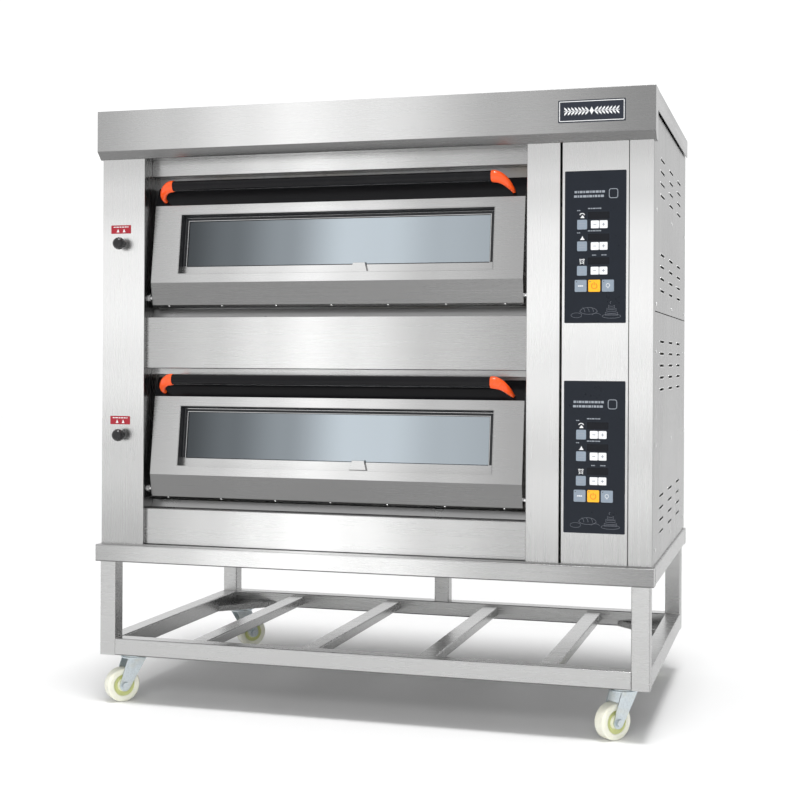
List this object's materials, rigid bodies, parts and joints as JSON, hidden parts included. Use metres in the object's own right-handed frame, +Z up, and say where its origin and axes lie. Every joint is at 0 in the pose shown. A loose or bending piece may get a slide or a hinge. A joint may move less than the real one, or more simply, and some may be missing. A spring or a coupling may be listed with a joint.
{
  "type": "two-deck bakery oven",
  "caption": "Stainless two-deck electric baking oven with drop-down glazed doors and side control panels, on an open tube stand with swivel casters.",
  "frame": {"origin": "on the floor, under the middle of the whole object's box", "axes": "+Z up, the doors face -Y, +X is the right-hand side of someone facing the doors"},
  "size_m": [1.25, 0.8, 1.339],
  "materials": {
    "stainless_steel": "brushed",
    "chamber_steel": "satin",
    "bright_steel": "bright",
    "zinc_plate": "satin",
    "window_glass": "clear",
    "black_enamel": "gloss",
    "black_handle": "gloss",
    "orange_plastic": "gloss",
    "black_plastic": "gloss",
    "panel_film": "satin",
    "grey_key": "satin",
    "yellow_key": "satin",
    "nameplate_metal": "satin",
    "red_label": "satin",
    "nylon_wheel": "satin",
    "hearth_steel": "dark",
    "heater_sheath": "dull",
    "mineral_wool": "fibrous",
    "circuit_board": "matte"
  },
  "bodies": {
    "oven_body": {"stand_frame": "stainless_steel", "stand_slats": "stainless_steel", "caster_gussets": "stainless_steel", "caster_mounts": "zinc_plate", "base_pan": "stainless_steel", "left_column": "stainless_steel", "right_jamb": "stainless_steel", "control_cover": "stainless_steel", "right_corner_post": "stainless_steel", "canopy_fascia": "stainless_steel", "top_cover": "stainless_steel", "header_panels": "stainless_steel", "mid_fascia": "stainless_steel", "bottom_fascia": "stainless_steel", "door_sills": "stainless_steel", "left_side_panels": "stainless_steel", "right_side_panels": "stainless_steel", "back_panel": "stainless_steel", "upper_chamber": "chamber_steel", "lower_chamber": "chamber_steel", "hearth_plates": "hearth_steel", "heating_elements": "heater_sheath", "insulation": "mineral_wool", "control_overlays": "panel_film", "nameplate": "nameplate_metal", "steam_labels": "red_label", "damper_guides": "black_plastic", "hinge_pins": "bright_steel", "circuit_boards": "circuit_board", "cable_gland": "black_plastic"},
    "lower_door": {"lower_door_skin": "stainless_steel", "lower_door_liner": "stainless_steel", "lower_door_glass_frame": "stainless_steel", "lower_door_glass": "window_glass", "lower_door_cap": "black_enamel", "lower_door_handle": "black_handle", "lower_handle_brackets": "orange_plastic"},
    "upper_door": {"upper_door_skin": "stainless_steel", "upper_door_liner": "stainless_steel", "upper_door_glass_frame": "stainless_steel", "upper_door_glass": "window_glass", "upper_door_cap": "black_enamel", "upper_door_handle": "black_handle", "upper_handle_brackets": "orange_plastic"},
    "lower_damper": {"lower_damper_knob": "black_plastic"},
    "upper_damper": {"upper_damper_knob": "black_plastic"},
    "lower_mode_button": {"lower_mode_key": "grey_key"},
    "lower_power_button": {"lower_power_key": "yellow_key"},
    "lower_lamp_button": {"lower_lamp_key": "grey_key"},
    "upper_mode_button": {"upper_mode_key": "grey_key"},
    "upper_power_button": {"upper_power_key": "yellow_key"},
    "upper_lamp_button": {"upper_lamp_key": "grey_key"},
    "front_left_caster": {"front_left_fork": "zinc_plate"},
    "front_left_roller": {"front_left_wheel": "nylon_wheel"},
    "front_right_caster": {"front_right_fork": "zinc_plate"},
    "front_right_roller": {"front_right_wheel": "nylon_wheel"},
    "rear_left_caster": {"rear_left_fork": "zinc_plate"},
    "rear_left_roller": {"rear_left_wheel": "nylon_wheel"},
    "rear_right_caster": {"rear_right_fork": "zinc_plate"},
    "rear_right_roller": {"rear_right_wheel": "nylon_wheel"}
  },
  "joints": [
    {"name": "lower_door_hinge", "type": "hinge", "parent": "oven_body", "child": "lower_door", "pos_m": [-0.079, -0.337, 0.4865], "axis": [1, 0, 0], "range_deg": [0, 90]},
    {"name": "upper_door_hinge", "type": "hinge", "parent": "oven_body", "child": "upper_door", "pos_m": [-0.079, -0.337, 0.9185], "axis": [1, 0, 0], "range_deg": [0, 90]},
    {"name": "lower_damper_slide", "type": "slide", "parent": "oven_body", "child": "lower_damper", "axis": [0, -1, 0], "range_m": [0, 0.03]},
    {"name": "upper_damper_slide", "type": "slide", "parent": "oven_body", "child": "upper_damper", "axis": [0, -1, 0], "range_m": [0, 0.03]},
    {"name": "lower_mode_press", "type": "slide", "parent": "oven_body", "child": "lower_mode_button", "axis": [0, 1, 0], "range_m": [0, 0.0006], "stiffness_N_per_m": 1500},
    {"name": "lower_power_press", "type": "slide", "parent": "oven_body", "child": "lower_power_button", "axis": [0, 1, 0], "range_m": [0, 0.0006], "stiffness_N_per_m": 1500},
    {"name": "lower_lamp_press", "type": "slide", "parent": "oven_body", "child": "lower_lamp_button", "axis": [0, 1, 0], "range_m": [0, 0.0006], "stiffness_N_per_m": 1500},
    {"name": "upper_mode_press", "type": "slide", "parent": "oven_body", "child": "upper_mode_button", "axis": [0, 1, 0], "range_m": [0, 0.0006], "stiffness_N_per_m": 1500},
    {"name": "upper_power_press", "type": "slide", "parent": "oven_body", "child": "upper_power_button", "axis": [0, 1, 0], "range_m": [0, 0.0006], "stiffness_N_per_m": 1500},
    {"name": "upper_lamp_press", "type": "slide", "parent": "oven_body", "child": "upper_lamp_button", "axis": [0, 1, 0], "range_m": [0, 0.0006], "stiffness_N_per_m": 1500},
    {"name": "front_left_swivel", "type": "hinge", "parent": "oven_body", "child": "front_left_caster", "pos_m": [-0.558, -0.323, 0.1], "axis": [0, 0, 1], "continuous": true},
    {"name": "front_left_spin", "type": "hinge", "parent": "front_left_caster", "child": "front_left_roller", "pos_m": [-0.57807, -0.34529, 0.038], "axis": [0.7431, -0.6691, 0], "continuous": true},
    {"name": "front_right_swivel", "type": "hinge", "parent": "oven_body", "child": "front_right_caster", "pos_m": [0.558, -0.323, 0.1], "axis": [0, 0, 1], "continuous": true},
    {"name": "front_right_spin", "type": "hinge", "parent": "front_right_caster", "child": "front_right_roller", "pos_m": [0.53793, -0.34529, 0.038], "axis": [0.7431, -0.6691, 0], "continuous": true},
    {"name": "rear_left_swivel", "type": "hinge", "parent": "oven_body", "child": "rear_left_caster", "pos_m": [-0.558, 0.314, 0.1], "axis": [0, 0, 1], "continuous": true},
    {"name": "rear_left_spin", "type": "hinge", "parent": "rear_left_caster", "child": "rear_left_roller", "pos_m": [-0.53793, 0.33629, 0.038], "axis": [0.7431, -0.6691, 0], "continuous": true},
    {"name": "rear_right_swivel", "type": "hinge", "parent": "oven_body", "child": "rear_right_caster", "pos_m": [0.558, 0.314, 0.1], "axis": [0, 0, 1], "continuous": true},
    {"name": "rear_right_spin", "type": "hinge", "parent": "rear_right_caster", "child": "rear_right_roller", "pos_m": [0.53793, 0.29171, 0.038], "axis": [0.7431, -0.6691, 0], "continuous": true}
  ]
}
